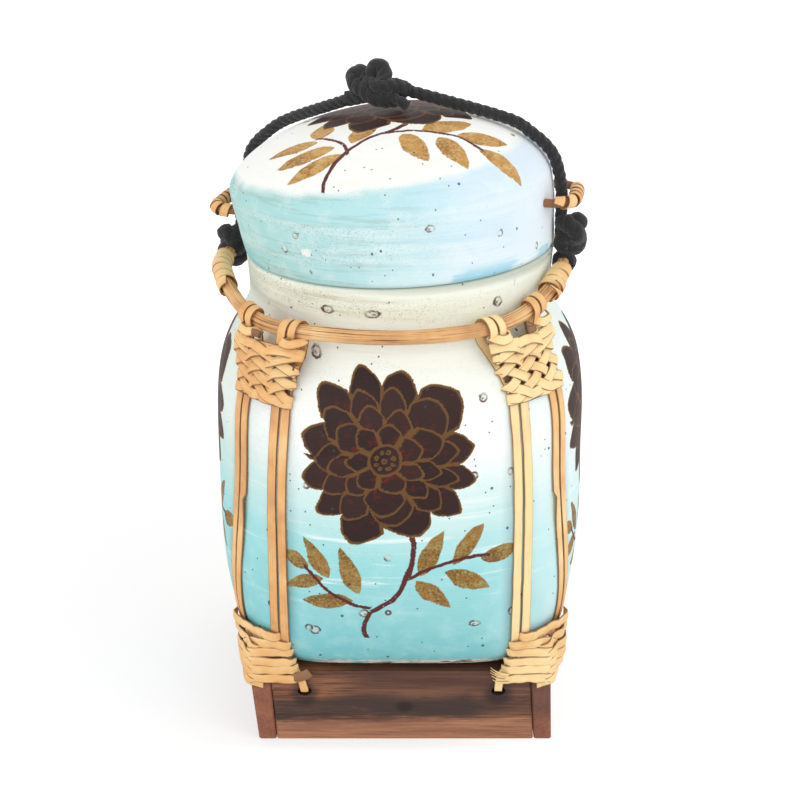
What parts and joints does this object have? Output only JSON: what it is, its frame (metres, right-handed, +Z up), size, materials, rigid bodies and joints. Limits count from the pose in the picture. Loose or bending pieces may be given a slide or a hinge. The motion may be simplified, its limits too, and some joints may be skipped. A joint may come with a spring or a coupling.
{
  "type": "sticky rice basket",
  "caption": "Painted bamboo sticky rice basket on a square wooden foot, with rattan straps and hoop, a domed lid that lifts off, and a black cord over the lid.",
  "frame": {"origin": "middle of the foot's underside, on the surface that the basket stands on", "axes": "+Z up, -Y towards the painted front, +X to the right of someone who faces the front"},
  "size_m": [0.1624, 0.1602, 0.2873],
  "materials": {
    "walnut_wood": "oiled, worn",
    "turquoise_paint": "matt paint over bamboo, white at the shoulder",
    "pale_paint": "matt paint over bamboo, brushed",
    "bamboo": "plain bamboo",
    "rattan_strip": "smooth split rattan",
    "rattan_core": "grooved rattan",
    "black_cotton": "twisted cotton cord"
  },
  "bodies": {
    "basket": {"foot_board_left": "walnut_wood", "foot_board_right": "walnut_wood", "foot_board_front": "walnut_wood", "foot_board_back": "walnut_wood", "basket_body": "turquoise_paint", "neck_sleeve": "bamboo", "shoulder_hoop": "rattan_core", "hoop_winding_right": "rattan_strip", "hoop_winding_left": "rattan_strip", "strap_front_by_left": "rattan_strip", "strap_front_by_right": "rattan_strip", "strap_right_by_front": "rattan_strip", "strap_right_by_back": "rattan_strip", "strap_back_by_right": "rattan_strip", "strap_back_by_left": "rattan_strip", "strap_left_by_back": "rattan_strip", "strap_left_by_front": "rattan_strip", "upper_plait_front_right": "rattan_strip", "upper_plait_back_right": "rattan_strip", "upper_plait_back_left": "rattan_strip", "upper_plait_front_left": "rattan_strip", "lower_plait_front_right": "rattan_strip", "lower_plait_back_right": "rattan_strip", "lower_plait_back_left": "rattan_strip", "lower_plait_front_left": "rattan_strip", "hoop_knot_right": "black_cotton", "hoop_knot_left": "black_cotton", "cord_drop_right": "black_cotton", "cord_drop_left": "black_cotton"},
    "lid": {"lid_shell": "pale_paint", "lid_loop_right": "rattan_core", "lid_loop_left": "rattan_core", "lid_loop_winding_right": "rattan_strip", "lid_loop_winding_left": "rattan_strip", "cord_over_lid_right": "black_cotton", "cord_over_lid_left": "black_cotton", "top_knot": "black_cotton"}
  },
  "joints": [
    {"name": "lid_lift", "type": "slide", "parent": "basket", "child": "lid", "axis": [0, 0, 1], "range_m": [0, 0.035], "deforming": ["cord_drop_right", "cord_drop_left"]}
  ]
}
